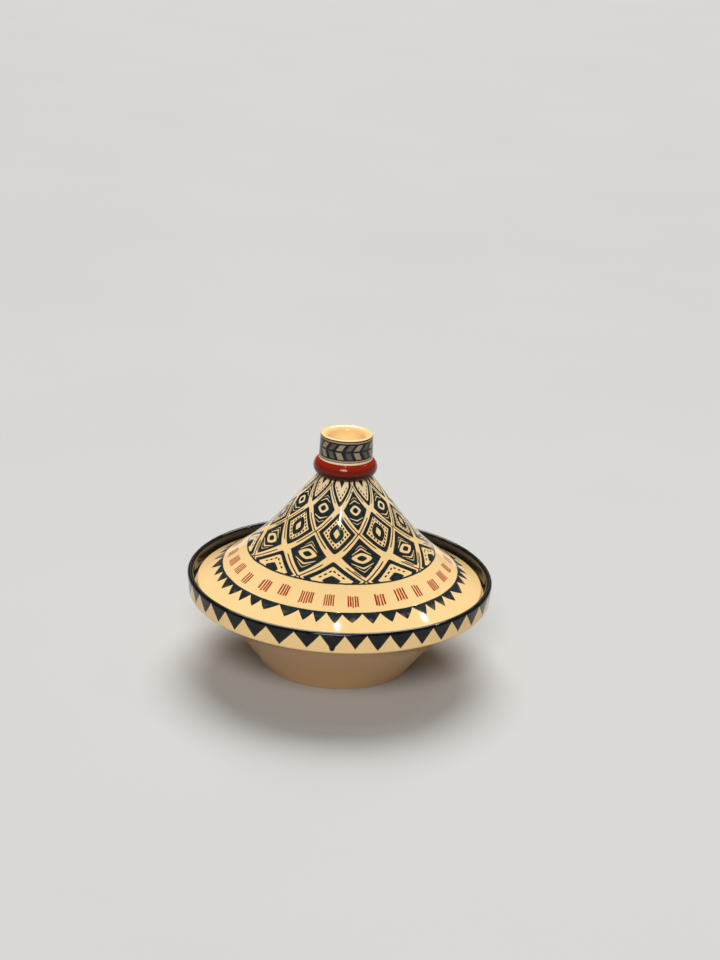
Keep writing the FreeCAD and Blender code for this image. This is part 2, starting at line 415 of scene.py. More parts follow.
class TurningTree(NodeSheet):
    """Geometry Nodes that turn a half section once round the upright axis.

    The section is a chain of points with these attributes: run, the paint's measure along it in
    millimetres; facing, which way its skin faces; free, how far the clay may wander; and rings, where
    throwing rings show.
    """

    INPUTS: ClassVar[dict[str, str]] = {
        "Section": "NodeSocketGeometry", "Sides": "NodeSocketInt", "Wander": "NodeSocketFloat",
        "Wander Size": "NodeSocketFloat", "Ring Depth": "NodeSocketFloat",
        "Ring Pitch": "NodeSocketFloat", "Seed": "NodeSocketFloat", "Finish": "NodeSocketMaterial",
    }
    MERGE: ClassVar[float] = MM / 1000
    BAKE_MARGIN: ClassVar[float] = 0.01

    def __init__(self) -> None:
        """Build the tree."""
        super().__init__(bpy.data.node_groups.new("turned_piece", "GeometryNodeTree"))
        self.keys: dict[str, str] = {}
        for name, kind in self.INPUTS.items():
            socket = self.tree.interface.new_socket(name, in_out="INPUT", socket_type=kind)
            self.keys[name] = socket.identifier
        self.tree.interface.new_socket("Piece", in_out="OUTPUT", socket_type="NodeSocketGeometry")
        self.given = self.add("NodeGroupInput")
        self.build()

    def take(self, name: str) -> Value:
        """Take one of the tree's own inputs."""
        return self.other(self.given, name)

    def read(self, name: str, row: Value, kind: str = "FLOAT") -> Value:
        """Read an attribute of the section at one of its points."""
        attribute = self.add("GeometryNodeInputNamedAttribute", {"data_type": kind}, {"Name": name})
        return self.sample(attribute, row, kind)

    def sample(self, measure: Value, row: Value, kind: str) -> Value:
        """Read a measure of the section at one of its points."""
        return self.add("GeometryNodeSampleIndex", {"data_type": kind, "domain": "POINT"},
                        {"Geometry": self.take("Section"), "Value": measure, "Index": row})

    def store(self, mesh: Value, name: str, measure: Value) -> Value:
        """Keep a flat vector at the corners of the mesh, as a map."""
        return self.add("GeometryNodeStoreNamedAttribute", {"data_type": "FLOAT2", "domain": "CORNER"},
                        {"Geometry": mesh, "Name": name, "Value": measure})

    def around(self, radius: Value, angle: Value, height: Value) -> Value:
        """Give the place that lies an angle round the axis, from the front."""
        return self.join(radius * angle.sin(), -(radius * angle.cos()), height)

    def bake_place(self, along: Value, across: Value) -> Value:
        """Lay the two halves of the piece one above the other in a square.

        Args:
            along: Share of the way along the section.
            across: Share of the way round.

        Returns:
            The place in the square.
        """
        middle = self.add("GeometryNodeFieldOnDomain", {"data_type": "FLOAT", "domain": "FACE"}, {0: across})
        half = (middle * 2).floor()
        margin, inside = self.BAKE_MARGIN, 1 - 2 * self.BAKE_MARGIN
        return self.join((across * 2 - half) * inside + margin, (half + along * inside + margin) / 2)

    def build(self) -> None:
        """Add the nodes, from a flat grid to the closed piece."""
        points = self.add("GeometryNodeAttributeDomainSize", {"component": "MESH"},
                          {"Geometry": self.take("Section")}, "Point Count")
        grid = self.add("GeometryNodeMeshGrid", sockets={
            "Size X": 1.0, "Size Y": 1.0, "Vertices X": points, "Vertices Y": self.take("Sides") + 1})
        along, across, _ = self.split(self.other(grid, "UV Map"))
        row = (along * (points - 1)).rounded()
        angle = (0.5 - across) * math.tau
        run = self.read("run", row)
        place = self.sample(self.add("GeometryNodeInputPosition"), row, "FLOAT_VECTOR")
        radius, _, height = self.split(place)
        out, _, up = self.split(self.read("facing", row, "FLOAT_VECTOR"))

        true_spot = self.around(radius, angle, height)
        grain = self.noise(true_spot, self.take("Wander Size"), detail=1.0, shift=self.take("Seed"))
        wander = (grain - 0.5) * 2 * self.take("Wander") * self.read("free", row)
        turn = run * math.tau / self.take("Ring Pitch") + angle
        lift = wander + turn.sin() * self.take("Ring Depth") * self.read("rings", row)
        spot = self.around(radius + out * lift, angle, height + up * lift)

        turned = self.add("GeometryNodeSetPosition", sockets={"Geometry": grid, "Position": spot})
        turned = self.store(turned, PAINT_MAP, self.join(angle / math.tau, run))
        turned = self.store(turned, BAKE_MAP, self.bake_place(along, across))
        closed = self.add("GeometryNodeMergeByDistance",
                          sockets={"Geometry": turned, "Distance": self.MERGE})
        smooth = self.add("GeometryNodeSetShadeSmooth", sockets={"Geometry": closed})
        whole = self.add("GeometryNodeRealizeInstances", sockets={"Geometry": smooth})
        done = self.add("GeometryNodeSetMaterial",
                        sockets={"Geometry": whole, "Material": self.take("Finish")})
        self.node("NodeGroupOutput", sockets={"Piece": done})


@dataclass
class TurnedPiece:
    """A piece that is turned round the upright axis and stands for one node.

    Attributes:
        node: Node that it stands for.
        body: Body that it rides on.
        slot: The record's finish.
        base: Height of its own base above the table, in millimetres.
        sides: Flat sides round the piece.
        wander: How far the thrown clay strays, in millimetres.
        ring_depth: Depth of the throwing rings, in millimetres.
        ring_pitch: Distance between throwing rings, in millimetres.
        seed: Picks the way that the clay strays.
        WANDER_SIZE: Size of the strays, in metres.
    """

    node: str
    body: Body
    slot: Slot
    base: float = 0.0
    sides: int = 288
    wander: float = 0.35
    ring_depth: float = 0.12
    ring_pitch: float = 6.5
    seed: float = 1.0
    WANDER_SIZE: ClassVar[float] = 0.07

    @property
    def name(self) -> str:
        """Name the piece after its node."""
        return f"{self.node}_glazed"

    def outline(self) -> Outline:
        """Draw the half section."""
        raise NotImplementedError

    def paint_start(self) -> Place:
        """Give the place on the section from which the paint is measured."""
        raise NotImplementedError

    def freedom(self, place: Vector) -> float:
        """Say how freely the clay may stray at a place, from 0 to 1."""
        raise NotImplementedError

    def thrown(self, place: Vector) -> float:
        """Say how much the throwing rings show at a place, from 0 to 1."""
        return 0.0

    def section(self) -> bpy.types.Object:
        """Make the half section as a chain of points with the attributes that the turning reads.

        Returns:
            The section's object.
        """
        path = self.outline().points()
        last = len(path) - 1
        runs = [0.0]
        for before, after in zip(path, path[1:]):
            runs.append(runs[-1] + (after - before).length)
        start = Vector(self.paint_start())
        nearest = min(range(len(path)), key=lambda index: (path[index] - start).length)
        mesh = bpy.data.meshes.new(self.name)
        places = [(point.x * MM, 0.0, (point.y + self.base) * MM) for point in path]
        mesh.from_pydata(places, [(index, index + 1) for index in range(last)], [])
        measures = {
            "run": [runs[nearest] - run for run in runs],
            "free": [self.freedom(point) for point in path],
            "rings": [self.thrown(point) for point in path],
        }
        for name, values in measures.items():
            mesh.attributes.new(name, "FLOAT", "POINT").data.foreach_set("value", values)
        facing = mesh.attributes.new("facing", "FLOAT_VECTOR", "POINT")
        for index in range(len(path)):
            way = (path[min(index + 1, last)] - path[max(index - 1, 0)]).normalized()
            facing.data[index].vector = (way.y, 0.0, -way.x)
        piece = bpy.data.objects.new(self.name, mesh)
        bpy.context.scene.collection.objects.link(piece)
        return piece

    def build(self, tree: TurningTree, finish: bpy.types.Material) -> bpy.types.Object:
        """Turn the section, make it a plain mesh and put it on its body.

        Args:
            tree: The turning.
            finish: The piece's material.

        Returns:
            The finished piece.
        """
        piece = self.section()
        turning = piece.modifiers.new("turning", "NODES")
        turning.node_group = tree.tree
        wants = {"Sides": self.sides, "Wander": self.wander * MM, "Wander Size": self.WANDER_SIZE,
                 "Ring Depth": self.ring_depth * MM, "Ring Pitch": self.ring_pitch, "Seed": self.seed,
                 "Finish": finish}
        for name, given in wants.items():
            turning[tree.keys[name]] = given
        section_mesh = piece.data
        graph = bpy.context.evaluated_depsgraph_get()
        mesh = bpy.data.meshes.new_from_object(piece.evaluated_get(graph))
        piece.modifiers.remove(turning)
        piece.data = mesh
        bpy.data.meshes.remove(section_mesh)
        mesh.name = self.name
        for spare in ("run", "free", "rings", "facing"):
            if spare in mesh.attributes:
                mesh.attributes.remove(mesh.attributes[spare])
        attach(piece, self.body.value)
        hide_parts(self.node)
        log.info("%s: %d faces", self.name, len(mesh.polygons))
        return piece


@dataclass
class Dish(TurnedPiece):
    """The footed dish with its upright rim and the ledge that carries the lid; sizes in millimetres."""

    node: str = "dish"
    body: Body = Body.DISH
    slot: Slot = Slot.PAINTED
    rim_radius: float = 150.0
    rim_height: float = 91.5
    rim_thickness: float = 6.0
    rim_skin: float = 4.0
    lip_round: float = 2.8
    band_height: float = 20.0
    band_taper: float = 1.5
    band_round: float = 3.0
    gallery_depth: float = 16.0
    gallery_width: float = 10.0
    gallery_round: float = 2.0
    gallery_fillet: float = 0.8
    foot_radius: float = 76.0
    foot_round: float = 1.5
    foot_ring_width: float = 9.0
    foot_ring_edge: float = 0.6
    foot_recess: float = 4.5
    recess_round: float = 1.5
    underside_curve: float = 196.0
    floor_thickness: float = 7.5
    heel_inset: float = 10.0
    bowl_curve: float = 30.0
    table_fade: float = 20.0
    ledge_fade: float = 12.0
    ring_fade: float = 15.0
    ring_margin: float = 3.0
    wall_margin: float = 1.0

    @property
    def rim_inside(self) -> float:
        """Give the radius inside the rim."""
        return self.rim_radius - self.rim_thickness

    @property
    def ledge(self) -> Place:
        """Give the inner edge of the ledge."""
        return (self.rim_inside - self.gallery_width, self.rim_height - self.gallery_depth)

    @property
    def heel(self) -> Place:
        """Give the corner between the bowl's wall and its floor."""
        return (self.foot_radius - self.heel_inset, self.foot_recess + self.floor_thickness)

    def outline(self) -> Outline:
        """Draw the half section.

        Returns:
            The outline from the hollow of the foot round to the floor of the bowl.
        """
        recess_radius = self.foot_radius - self.foot_ring_width
        foot = (self.foot_radius, 0.0)
        band_foot = (self.rim_radius - self.band_taper, self.rim_height - self.band_height)
        flare = centre_on_right(foot, band_foot, self.underside_curve)
        return Outline([
            Corner(0.0, self.foot_recess),
            Corner(recess_radius, self.foot_recess, self.recess_round),
            Corner(recess_radius, 0.0, self.foot_ring_edge),
            Corner(*foot, self.foot_round, centre=flare),
            Corner(*band_foot, self.band_round),
            Corner(self.rim_radius, self.rim_height, self.lip_round),
            Corner(self.rim_inside, self.rim_height, self.lip_round),
            Corner(self.rim_inside, self.ledge[1], self.gallery_fillet),
            Corner(*self.ledge, self.gallery_round),
            Corner(*self.heel, self.bowl_curve),
            Corner(0.0, self.heel[1]),
        ])

    def paint_start(self) -> Place:
        """Measure the paint from the middle of the lip."""
        return (self.rim_radius - self.rim_thickness / 2, self.rim_height)

    def freedom(self, place: Vector) -> float:
        """Hold the clay still at the table and at the ledge, but not on the outside of the rim.

        Args:
            place: Place on the section.

        Returns:
            The freedom.
        """
        outside = place.x > self.rim_radius - self.rim_skin
        from_ledge = 1.0 if outside else ramp(abs(place.y - self.ledge[1]), self.ledge_fade)
        return ramp(place.y, self.table_fade) * from_ledge

    def thrown(self, place: Vector) -> float:
        """Show throwing rings inside the bowl only, which lies further in than the underside.

        Args:
            place: Place on the section.

        Returns:
            How much the rings show.
        """
        (ledge_radius, ledge_height), (heel_radius, floor) = self.ledge, self.heel
        share = (place.y - floor) / (ledge_height - floor)
        wall = heel_radius + (ledge_radius - heel_radius) * share
        inside = place.x < min(wall + self.wall_margin, ledge_radius - self.ring_margin)
        return ramp(place.x, self.ring_fade) if inside and place.y > floor - Outline.SAME else 0.0


@dataclass
class LidCone(TurnedPiece):
    """The flared cone of the lid, with an even wall; sizes in millimetres."""

    node: str = "lid_cone"
    body: Body = Body.LID
    slot: Slot = Slot.PAINTED
    base: float = 75.5
    wander: float = 0.05
    seed: float = 4.0
    brim_radius: float = 140.4
    wall: float = 6.5
    brim_edge: float = 7.0
    brim_round: float = 2.5
    brim_fillet: float = 0.8
    seat_round: float = 1.0
    seat_edge: float = 0.6
    flare_radius: float = 59.0
    flare_height: float = 76.1
    neck_radius: float = 24.2
    neck_height: float = 120.5
    neck_edge: float = 0.4
    crown_round: float = 10.0
    seat_fade: float = 15.0
    neck_fade: float = 10.0
    ring_fade: float = 10.0
    ring_margin: float = 4.0

    @staticmethod
    def inward(way: Vector) -> Vector:
        """Give the direction into the wall from a line that runs down the lid."""
        return Vector((way.y, -way.x)).normalized()

    def outline(self) -> Outline:
        """Draw the half section, whose flare is a curve between the lines of cone and brim.

        Returns:
            The outline from the ceiling inside round to the flat top.
        """
        flare = Vector((self.flare_radius, self.flare_height))
        neck = Vector((self.neck_radius, self.neck_height))
        brim = Vector((self.brim_radius, self.brim_edge))
        cone, skirt = flare - neck, brim - flare
        turn = flare + cone * (skirt.length_squared / (2 * skirt.dot(cone)))
        brim_line = (brim - turn).normalized()
        cone_in, brim_in = self.inward(cone), self.inward(brim_line)
        turn_in = turn + (cone_in + brim_in) * (self.wall / (1 + cone_in.dot(brim_in)))
        flare_in = flare + cone_in * self.wall
        crown_height = self.neck_height - self.wall
        crown_radius = flare_in.x + (crown_height - flare_in.y) * cone.x / cone.y
        brim_in_radius = self.brim_radius - self.wall
        brim_in_edge = brim + brim_in * self.wall
        brim_in_height = brim_in_edge.y + (brim_in_radius - brim_in_edge.x) * brim_line.y / brim_line.x
        return Outline([
            Corner(0.0, crown_height),
            Corner(crown_radius, crown_height, self.crown_round),
            Corner(*flare_in, handle=tuple(turn_in)),
            Corner(brim_in_radius, brim_in_height, self.brim_fillet),
            Corner(brim_in_radius, 0.0, self.seat_edge),
            Corner(self.brim_radius, 0.0, self.seat_round),
            Corner(*brim, self.brim_round, handle=tuple(turn)),
            Corner(*flare),
            Corner(*neck, self.neck_edge),
            Corner(0.0, self.neck_height),
        ])

    def paint_start(self) -> Place:
        """Measure the paint down from the neck."""
        return (self.neck_radius, self.neck_height)

    def freedom(self, place: Vector) -> float:
        """Hold the clay still at the seat and under the collar."""
        over_seat = ramp(place.y - self.seat_round, self.seat_fade)
        return over_seat * ramp(self.neck_height - place.y, self.neck_fade)

    def thrown(self, place: Vector) -> float:
        """Show throwing rings inside the cone only.

        Args:
            place: Place on the section.

        Returns:
            How much the rings show.
        """
        share = (place.y - self.flare_height) / (self.neck_height - self.flare_height)
        outside = self.flare_radius + (self.neck_radius - self.flare_radius) * share
        in_cone = place.y > self.flare_height - self.wall and place.x < outside - self.ring_margin
        return ramp(place.x, self.ring_fade) if in_cone else 0.0


@dataclass
class CollarBead(TurnedPiece):
    """The rolled ring between cone and knob, which hangs a little down the cone; sizes in millimetres."""

    node: str = "collar_bead"
    body: Body = Body.LID
    slot: Slot = Slot.RED
    base: float = 196.0
    sides: int = 192
    wander: float = 0.25
    seed: float = 7.0
    bore: float = 22.3
    neck_radius: float = 24.2
    knob_radius: float = 26.0
    bulge: float = 6.8
    height: float = 15.0
    hang: float = 1.8
    cone_lean: float = 0.78
    edge_round: float = 0.3
    bulge_fade: float = 3.0

    def outline(self) -> Outline:
        """Draw the ring's section.

        Returns:
            The outline from the bore's foot down the cone and round to its top.
        """
        middle = (self.height - self.hang) / 2
        foot = (self.neck_radius + self.hang * self.cone_lean, -self.hang)
        widest = (self.neck_radius + self.bulge, middle)
        top = (self.knob_radius, self.height)
        return Outline([
            Corner(self.bore, 0.0, self.edge_round),
            Corner(self.neck_radius, 0.0),
            Corner(*foot, self.edge_round, centre=centre_at_level(foot, widest, middle)),
            Corner(*widest, centre=centre_at_level(widest, top, middle)),
            Corner(*top, self.edge_round),
            Corner(self.bore, self.height, self.edge_round),
        ], closed=True, pace=1.0)

    def paint_start(self) -> Place:
        """Measure the glaze from the top of the ring."""
        return (self.knob_radius, self.height)

    def freedom(self, place: Vector) -> float:
        """Let the clay stray on the bulge only."""
        return ramp(place.x - self.knob_radius, self.bulge_fade)


@dataclass
class KnobCup(TurnedPiece):
    """The hollow knob, with the foot by which it stands in the collar; sizes in millimetres."""

    node: str = "knob_cup"
    body: Body = Body.LID
    slot: Slot = Slot.PAINTED
    base: float = 196.0
    sides: int = 192
    wander: float = 0.2
    seed: float = 9.0
    collar_height: float = 15.0
    spigot_radius: float = 22.0
    radius: float = 26.0
    taper: float = 0.7
    height: float = 24.5
    wall: float = 7.5
    edge_round: float = 0.3
    seat_fillet: float = 0.15
    lip_round: float = 1.5
    mouth_round: float = 6.2
    floor_radius: float = 16.0
    floor: float = 5.0
    floor_round: float = 4.0
    still_height: float = 1.0
    collar_fade: float = 8.0

    def outline(self) -> Outline:
        """Draw the half section.

        Returns:
            The outline from under the foot round to the floor of the cup.
        """
        top = self.collar_height + self.height
        lip = self.radius - self.taper
        return Outline([
            Corner(0.0, 0.0),
            Corner(self.spigot_radius, 0.0, self.edge_round),
            Corner(self.spigot_radius, self.collar_height, self.seat_fillet),
            Corner(self.radius, self.collar_height, self.edge_round),
            Corner(lip, top, self.lip_round),
            Corner(lip - self.wall, top, self.mouth_round),
            Corner(self.floor_radius, self.floor, self.floor_round),
            Corner(0.0, self.floor),
        ], pace=1.0)

    def paint_start(self) -> Place:
        """Measure the paint from the top of the lip."""
        return (self.radius - self.taper - self.lip_round, self.collar_height + self.height)

    def freedom(self, place: Vector) -> float:
        """Hold the clay still inside the collar and just above it."""
        return ramp(place.y - self.collar_height - self.still_height, self.collar_fade)


@dataclass(frozen=True)
class Pigments:
    """The colours of clay, glaze and paint, and those of painted shade and painted light."""

    cream: Colour = shade(250, 214, 152)
    warm_cream: Colour = shade(245, 202, 134)
    ink: Colour = shade(30, 38, 40)
    thin_ink: Colour = shade(60, 70, 72)
    lip_black: Colour = shade(6, 6, 8)
    brown_black: Colour = shade(15, 12, 10)
    rust: Colour = shade(142, 33, 8)
    pale_rust: Colour = shade(184, 66, 26)
    ox_red: Colour = shade(168, 42, 17)
    # Painted shade on the bead's lower side.
    bead_shade_red: Colour = shade(50, 2, 1)
    bare_clay: Colour = shade(214, 178, 138)
    cell_beige: Colour = shade(170, 149, 119)
    cell_grey: Colour = shade(110, 102, 90)
    bar_black: Colour = shade(9, 11, 10)
    # Painted shade for the outside under the dish's band.
    underside_shade: Colour = shade(212, 166, 112)
    # Pale cream: painted light in the knob's cup, a painted highlight on the ring at the knob's foot, and
    # the lid's paler ground near the neck.
    pale_cream_and_painted_light: Colour = shade(255, 230, 186)


class Finish(NodeSheet):
    """A procedural material on the object's own coordinates."""

    def __init__(self, name: str) -> None:
        """Start the material with no shader yet.

        Args:
            name: The material's name.
        """
        self.material = bpy.data.materials.new(name)
        self.material.use_nodes = True
        super().__init__(self.material.node_tree)
        self.tree.nodes.clear()
        self.place = self.add("ShaderNodeTexCoord", out="Object")

    def end(self, sockets: Sockets) -> bpy.types.Material:
        """End the material in a shader.

        Args:
            sockets: Values or links for the shader's inputs.

        Returns:
            The material.
        """
        shader = self.add("ShaderNodeBsdfPrincipled", sockets=sockets)
        self.node("ShaderNodeOutputMaterial", sockets={"Surface": shader})
        return self.material


class FloorFinish(Finish):
    """The studio's pale and faintly clouded floor."""

    PALE: ClassVar[Colour] = shade(188, 187, 184)
    CLOUDED: ClassVar[Colour] = shade(183, 182, 180)
    ROUGHNESS: ClassVar[float] = 0.7

    def paint(self) -> bpy.types.Material:
        """Paint the floor."""
        colour = self.mix(self.noise(self.place, size=0.4), self.PALE, self.CLOUDED)
        return self.end({"Base Color": colour, "Roughness": self.ROUGHNESS})


class Glaze(Finish):
    """A glossy glaze over cream slip; the pieces' own paints build on it."""

    NAME: ClassVar[str]
    IOR: ClassVar[float] = 1.36
    RIPPLE: ClassVar[float] = 0.5
    BUMP: ClassVar[Sockets] = {"Strength": 0.15, "Distance": 0.0004}

    def __init__(self, pigments: Pigments) -> None:
        """Start the material with the two measures that the paint follows.

        Args:
            pigments: The colours.
        """
        super().__init__(self.NAME)
        self.pigments = pigments
        turn, self.run, _ = self.split(self.add("ShaderNodeUVMap", {"uv_map": PAINT_MAP}))
        self.degrees = turn * FULL_TURN

    def paint(self) -> bpy.types.Material:
        """Paint the piece."""
        raise NotImplementedError

    def stray(self, measure: Value, amount: float, size: float, shift: float) -> Value:
        """Let a measure stray by a smooth noise, as a hand does."""
        return measure + (self.noise(self.place, size, 1.0, shift) - 0.5) * (2 * amount)

    def cream(self) -> Value:
        """Make the cream ground, a little warmer where the glaze is thick.

        Returns:
            The colour.
        """
        cloud = self.noise(self.place, size=0.035, detail=3.0, shift=2.0)
        speck = self.noise(self.place, size=0.0011, detail=1.0, shift=5.0).above(0.71, 0.05)
        ground = self.mix(cloud * 0.5, self.pigments.cream, self.pigments.warm_cream)
        return self.mix(speck * 0.25, ground, self.pigments.bare_clay)

    def ink(self) -> Value:
        """Make the blue-black paint, thinner where the brush ran dry."""
        return self.mix(self.patches(), self.pigments.ink, self.pigments.thin_ink)

    def patches(self) -> Value:
        """Mark where a brush ran dry, from 0 to 1."""
        streak = self.noise(self.place, size=0.006, detail=4.0, shift=8.0).within(0.52, 0.8, 0.12)
        return streak * self.noise(self.place, size=0.0014, detail=2.0, shift=9.0) * 0.5

    def rust(self) -> Value:
        """Make the red strokes' paint."""
        cloud = self.noise(self.place, size=0.003, detail=2.0, shift=3.0)
        return self.mix(cloud, self.pigments.rust, self.pigments.pale_rust)

    def finish(self, colour: Value, relief: Value, bare: Value | None = None) -> bpy.types.Material:
        """End the material in a glossy shader.

        Args:
            colour: Colour all over.
            relief: How thick the paint lies, from 0 to 1.
            bare: Mask of the clay that has no glaze.

        Returns:
            The material.
        """
        ripple = self.noise(self.place, size=0.03, detail=1.0, shift=6.0)
        height = relief * 0.3 + ripple * self.RIPPLE
        bump = self.add("ShaderNodeBump", sockets={**self.BUMP, "Height": height}, out="Normal")
        roughness = self.noise(self.place, size=0.02, detail=2.0, shift=7.0) * 0.05 + 0.05
        if bare is not None:
            colour = self.mix(bare, colour, self.pigments.bare_clay)
            roughness = roughness + bare * 0.7
        return self.end({"Base Color": colour, "Roughness": roughness, "Normal": bump, "IOR": self.IOR})


@dataclass(frozen=True)
class Chevron:
    """A chevron left in cream over or under an eye, in millimetres down the lid and degrees round it.

    Attributes:
        tip: Where its tip lies, from the eye's middle.
        half_width: Half its width.
        lean: How far its arms fall back for each degree.
        low_lean: Lean that the lower row adds.
        half_thick: Half its thickness at the tip.
        low_thick: Half thickness that the lower row adds.
        cover: How clean it is left, from 0 to 1.
        TAPER: How many times its own length an arm would need to thin out to nothing.
    """

    tip: float
    half_width: float
    lean: float
    low_lean: float
    half_thick: float
    low_thick: float
    cover: float = 1.0
    TAPER: ClassVar[float] = 1.6

    def mask(self, side: Value, depth: Value, low_row: Value) -> Value:
        """Draw the chevron, which thins out towards its ends.

        Args:
            side: Way to the side of the eye's middle.
            depth: Way up or down from the eye's middle.
            low_row: 0 in the upper row of eyes and 1 in the lower one.

        Returns:
            The chevron's mask.
        """
        off = abs(depth + side * (low_row * self.low_lean + self.lean) - self.tip)
        taper = 1 - side / (self.half_width * self.TAPER)
        half_thick = taper * (low_row * self.low_thick + self.half_thick)
        return (off.below(half_thick, 0.25) & side.below(self.half_width, 0.35)) * self.cover


class LidPaint(Glaze):
    """The lid's painted lattice of diamonds, its tally strokes and its sawtooth border.

    Measures down the lid are millimetres from the neck, and measures round it are degrees. A diamond's
    pair of sizes is half its width and half its height.
    """

    NAME = "lid_paint"
    RIPPLE = 0.15
    SOFT: ClassVar[float] = 0.3
    LINE: ClassVar[Place] = (103.6, 105.3)
    LATTICE_END: ClassVar[float] = 103.8
    LATTICE_SQUEEZE: ClassVar[float] = 1.012
    LATTICE_DROP: ClassVar[float] = 1.7
    PALE_EDGE: ClassVar[float] = 35.0
    PALE_FADE: ClassVar[float] = 32.0
    WORN_EDGE: ClassVar[float] = 142.0
    WORN_FADE: ClassVar[float] = 4.0
    CELLS: ClassVar[int] = 9
    CELL_WIDTH: ClassVar[float] = 41.8
    FRONT_STRETCH: ClassVar[float] = 0.0617
    DOT_PHASE: ClassVar[float] = -0.1053
    DOT_ROW: ClassVar[float] = 53.4
    ROW_STEP: ClassVar[float] = 24.05
    EYE: ClassVar[Place] = (15.4, 20.8)
    PUPIL: ClassVar[Place] = (3.8, 3.0)
    EYE_BULGE: ClassVar[float] = 1.4
    OVER_EYE: ClassVar[tuple[Chevron, ...]] = (
        Chevron(10.1, 7.3, lean=0.5, low_lean=0.42, half_thick=0.7, low_thick=0.15),
        Chevron(13.4, 4.6, lean=0.6, low_lean=0.45, half_thick=0.4, low_thick=0.05, cover=0.85),
    )
    UNDER_EYE: ClassVar[tuple[Chevron, ...]] = (
        Chevron(10.6, 7.9, lean=0.38, low_lean=0.26, half_thick=0.7, low_thick=0.15),
        Chevron(14.6, 5.3, lean=0.55, low_lean=0.5, half_thick=0.45, low_thick=0.1, cover=0.85),
    )
    DOTTED: ClassVar[Place] = (17.9, 22.3)
    HOLLOW: ClassVar[Place] = (13.2, 17.1)
    HEART: ClassVar[Place] = (2.9, 5.0)
    HEART_BULGE: ClassVar[float] = 1.15
    FAR: ClassVar[float] = 99.0
    TALLIES: ClassVar[int] = 29
    TALLY_PHASE: ClassVar[float] = 0.29
    TALLY_STRETCH: ClassVar[float] = 0.065
    TALLY_TOP: ClassVar[float] = 114.8
    TALLY_HEIGHT: ClassVar[float] = 12.8
    TALLY_REACH: ClassVar[float] = 3.3
    TALLY_SLANT: ClassVar[float] = 0.01
    TALLY_PITCH: ClassVar[float] = 1.43
    PITCH_SWING: ClassVar[float] = 0.33
    TEETH: ClassVar[int] = 45
    CREST: ClassVar[float] = 134.4
    TOOTH_ROOT: ClassVar[float] = 136.3
    TOOTH_TIP: ClassVar[float] = 145.2

    def paint(self) -> bpy.types.Material:
        """Paint the lid.

        Returns:
            The material.
        """
        slow = self.stray(self.run, amount=0.9, size=0.03, shift=11.0)
        run = self.stray(slow, amount=0.25, size=0.004, shift=12.0)
        degrees = self.stray(self.degrees, amount=0.6, size=0.035, shift=13.0)
        lattice = self.lattice(degrees, run * self.LATTICE_SQUEEZE - self.LATTICE_DROP)
        line = run.within(*self.LINE, self.SOFT)
        saw = self.sawtooth(degrees, self.stray(self.run, amount=0.5, size=0.02, shift=14.0))
        inked = lattice | line | saw
        red = self.tally(self.stray(self.degrees, amount=0.28, size=0.006, shift=15.0),
                         self.stray(self.run, amount=0.6, size=0.004, shift=16.0))
        worn = self.noise(self.place, size=0.009, detail=3.0, shift=17.0).above(0.58, 0.1)
        worn_edge = worn & run.above(self.WORN_EDGE, self.WORN_FADE)
        pale = run.below(self.PALE_EDGE, self.PALE_FADE) * 0.8
        ground = self.mix(pale, self.cream(), self.pigments.pale_cream_and_painted_light)
        colour = self.mix(inked * (1 - worn_edge * 0.2), ground, self.ink())
        colour = self.mix(red, colour, self.rust())
        return self.finish(colour, inked | red)

    def lattice(self, degrees: Value, run: Value) -> Value:
        """Draw the lattice of eye diamonds and dotted diamonds.

        Args:
            degrees: Way round the lid.
            run: Way down the lid.

        Returns:
            The mask of its paint.
        """
        stretch = degrees.radians().sin() * self.FRONT_STRETCH
        phase = degrees * (self.CELLS / FULL_TURN) - stretch - self.DOT_PHASE
        cell, offset = phase.repeats(self.CELLS)
        across = offset * self.CELL_WIDTH
        across_eye = (phase - 0.5).wrapped(0.5) * self.CELL_WIDTH
        down = (run - self.DOT_ROW).wrapped(self.ROW_STEP)
        down_eye = (run - self.DOT_ROW - self.ROW_STEP).wrapped(self.ROW_STEP)
        row = ((run - self.DOT_ROW) / (2 * self.ROW_STEP)).rounded()
        eyes = self.eye_diamond(across_eye, down_eye, run.above(self.DOT_ROW, 0.01))
        dots = self.dotted_diamond(across, down, row)
        strokes = self.band_strokes(across, down, self.chance(cell, row, across.math("SIGN")))
        return (eyes | dots | strokes) & run.below(self.LATTICE_END, self.SOFT)

    def lozenge(self, across: Value, down: Value, half_width: Number, half_height: Number,
                side_bulge: Number = 1.0, end_bulge: Number = 1.0) -> Value:
        """Measure how far a place lies outside a lozenge, in millimetres down the lid.

        Args:
            across: Way to the side of its middle.
            down: Way up or down from its middle.
            half_width: Half its width.
            half_height: Half its height.
            side_bulge: Power of the way across; past 1 it rounds the upper and lower corners.
            end_bulge: Power of the way down; past 1 it rounds the corners at the sides.

        Returns:
            The distance, less than nothing inside.
        """
        side_part = (across / half_width) ** side_bulge
        end_part = (down / half_height) ** end_bulge
        return (side_part + end_part - 1) * half_height

    def fill(self, outside: Value) -> Value:
        """Fill the inside of a measured shape."""
        return outside.below(0.0, self.SOFT)

    def eye_diamond(self, across: Value, down: Value, low_row: Value) -> Value:
        """Draw a dark diamond with an eye and chevrons left in cream.

        Args:
            across: Way to the side of the diamond's middle.
            down: Way down from the diamond's middle.
            low_row: 0 in the upper row of eyes and 1 in the lower one, where a degree is longer.

        Returns:
            The mask of its paint.
        """
        side, depth = across.blunt(0.5), abs(down)
        bulges = (self.EYE_BULGE, self.EYE_BULGE)
        ring_width, ring_height = low_row * 0.6 + 7.1, low_row * 0.3 + 5.2
        light = self.fill(self.lozenge(side, depth, ring_width, ring_height, *bulges))
        pupil = self.fill(self.lozenge(side, depth, *self.PUPIL, *bulges))
        over, under = down.below(0.0, 0.1), down.above(0.0, 0.1)
        for half, chevrons in ((over, self.OVER_EYE), (under, self.UNDER_EYE)):
            for chevron in chevrons:
                light = light | (half & chevron.mask(side, depth, low_row))
        return (self.fill(self.lozenge(side, depth, *self.EYE)) & (1 - light)) | pupil

